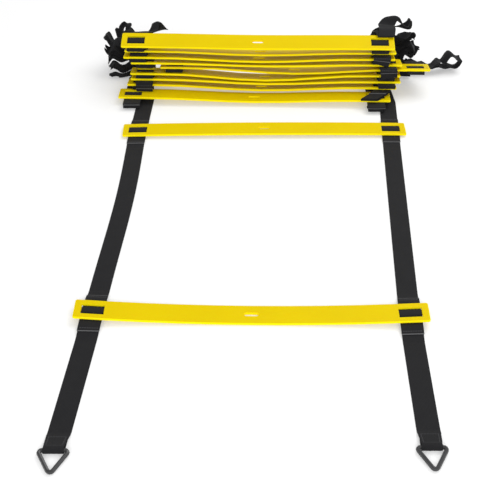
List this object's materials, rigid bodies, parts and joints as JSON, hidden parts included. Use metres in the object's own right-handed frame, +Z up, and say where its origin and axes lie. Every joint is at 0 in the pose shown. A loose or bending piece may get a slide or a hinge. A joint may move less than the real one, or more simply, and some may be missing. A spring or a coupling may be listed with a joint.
{
  "type": "agility ladder",
  "caption": "Agility ladder of flat slotted rungs threaded on webbing straps with triangular end rings; one end is laid out flat and the rest is stacked in a loosely folded bundle.",
  "frame": {"origin": "on the floor, under the middle of the whole part", "axes": "+X to the right along the rungs, +Y along the ladder from its laid out end towards the bundle, +Z up"},
  "size_m": [0.555, 0.9382, 0.0921],
  "materials": {
    "rung": "satin yellow",
    "webbing": "woven black",
    "ring": "smooth black"
  },
  "bodies": {
    "bundle": {"keeper_02_left": "webbing", "keeper_02_right": "webbing", "keeper_03_left": "webbing", "keeper_03_right": "webbing", "keeper_04_left": "webbing", "keeper_04_right": "webbing", "keeper_05_left": "webbing", "keeper_05_right": "webbing", "keeper_06_left": "webbing", "keeper_06_right": "webbing", "keeper_07_left": "webbing", "keeper_07_right": "webbing", "keeper_08_left": "webbing", "keeper_08_right": "webbing", "keeper_09_left": "webbing", "keeper_09_right": "webbing", "keeper_10_left": "webbing", "keeper_10_right": "webbing", "keeper_11_left": "webbing", "keeper_11_right": "webbing", "rung_02": "rung", "rung_03": "rung", "rung_04": "rung", "rung_05": "rung", "rung_06": "rung", "rung_07": "rung", "rung_08": "rung", "rung_09": "rung", "rung_10": "rung", "rung_11": "rung", "strap_left_bundle": "webbing", "strap_right_bundle": "webbing"},
    "bay_rear": {"strap_left_bay_rear": "webbing", "strap_right_bay_rear": "webbing"},
    "bay_front": {"strap_left_bay_front": "webbing", "strap_right_bay_front": "webbing"},
    "end_rung": {"rung_01": "rung", "keeper_01_left": "webbing", "keeper_01_right": "webbing", "strap_left_under_end_rung": "webbing", "strap_right_under_end_rung": "webbing"},
    "tail_left": {"strap_left_tail": "webbing"},
    "tail_right": {"strap_right_tail": "webbing"},
    "ring_left_front": {"ring_left_front": "ring"},
    "ring_right_front": {"ring_right_front": "ring"},
    "ring_left_back": {"ring_left_back": "ring"},
    "ring_right_back": {"ring_right_back": "ring"}
  },
  "joints": [
    {"name": "bay_rear_fold", "type": "hinge", "parent": "bundle", "child": "bay_rear", "pos_m": [-0.03535, 0.13191, 0.00092], "axis": [-1, 0, 0], "range_deg": [0, 80]},
    {"name": "bay_middle_fold", "type": "hinge", "parent": "bay_rear", "child": "bay_front", "pos_m": [-0.03535, -0.02684, 0.00002], "axis": [-1, 0, 0], "range_deg": [-160, 0]},
    {"name": "end_rung_fold", "type": "hinge", "parent": "bay_front", "child": "end_rung", "pos_m": [-0.03535, -0.18559, 0.00092], "axis": [-1, 0, 0], "range_deg": [0, 80]},
    {"name": "tail_left_fold", "type": "hinge", "parent": "end_rung", "child": "tail_left", "pos_m": [-0.03535, -0.27559, 0.00092], "axis": [-1, 0, 0], "range_deg": [0, 115]},
    {"name": "ring_left_front_swing", "type": "hinge", "parent": "tail_left", "child": "ring_left_front", "pos_m": [-0.25893, -0.43909, 0.00362], "axis": [-1, 0, 0], "range_deg": [0, 120]},
    {"name": "ring_left_back_swing", "type": "hinge", "parent": "bundle", "child": "ring_left_back", "pos_m": [-0.17087, 0.43909, 0.00362], "axis": [1, 0, 0], "range_deg": [0, 120]},
    {"name": "tail_right_fold", "type": "hinge", "parent": "end_rung", "child": "tail_right", "pos_m": [-0.03535, -0.27559, 0.00092], "axis": [-1, 0, 0], "range_deg": [0, 115]},
    {"name": "ring_right_front_swing", "type": "hinge", "parent": "tail_right", "child": "ring_right_front", "pos_m": [0.12499, -0.43509, 0.00362], "axis": [-1, 0, 0], "range_deg": [0, 120]},
    {"name": "ring_right_back_swing", "type": "hinge", "parent": "bundle", "child": "ring_right_back", "pos_m": [0.1536, 0.42051, 0.03188], "axis": [1, 0, 0], "range_deg": [0, 120]}
  ],
  "couplings": [
    {"joint": "bay_middle_fold", "follows": "bay_rear_fold", "ratio": -2},
    {"joint": "end_rung_fold", "follows": "bay_rear_fold", "ratio": 1}
  ]
}
